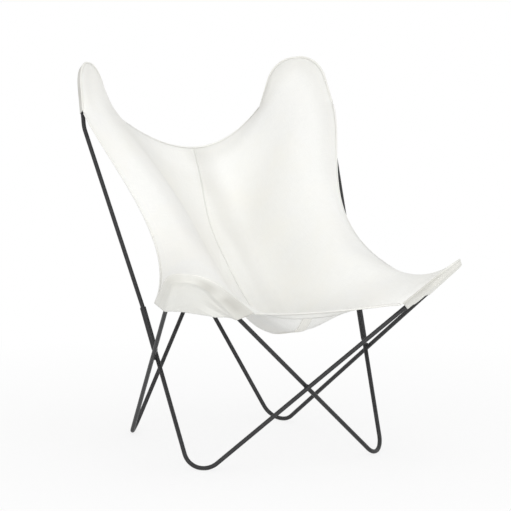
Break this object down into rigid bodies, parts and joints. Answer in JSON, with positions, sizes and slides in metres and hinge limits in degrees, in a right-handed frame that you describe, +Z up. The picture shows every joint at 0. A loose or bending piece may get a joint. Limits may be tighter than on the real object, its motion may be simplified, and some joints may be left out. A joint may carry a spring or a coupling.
{
  "type": "butterfly sling chair",
  "caption": "Low lounge chair: a one-piece canvas sling hung by corner pockets on a frame of bent, crossing round steel rods with two plug-in back hoops.",
  "frame": {"origin": "under the middle of the chair's bounding box, on the floor", "axes": "+Z up, the front of the seat faces -Y, +X to the right of somebody standing in front of the chair"},
  "size_m": [0.7252, 0.8144, 0.888],
  "materials": {
    "rod_steel": "satin dark grey powder coat",
    "weld_steel": "satin dark grey powder coat over a weld bead",
    "canvas": "off-white plain-weave canvas",
    "pocket_canvas": "off-white plain-weave canvas, back layer",
    "seam_tape": "off-white cotton tape and turned hems"
  },
  "bodies": {
    "root": {"base_rod_left": "rod_steel", "base_rod_right": "rod_steel", "back_hoop_left": "rod_steel", "back_hoop_right": "rod_steel", "sleeve_left": "rod_steel", "sleeve_right": "rod_steel", "sleeve_rear_left": "rod_steel", "sleeve_rear_right": "rod_steel", "weld_front": "weld_steel", "weld_rear": "weld_steel", "weld_left": "weld_steel", "weld_right": "weld_steel", "sling_panel_left": "canvas", "sling_panel_right": "canvas", "sling_seam_tape": "seam_tape", "hem_back": "seam_tape", "hem_front": "seam_tape", "hem_left": "seam_tape", "hem_right": "seam_tape", "pocket_back_left": "pocket_canvas", "pocket_back_right": "pocket_canvas", "pocket_front_left": "pocket_canvas", "pocket_front_right": "pocket_canvas"}
  },
  "joints": []
}
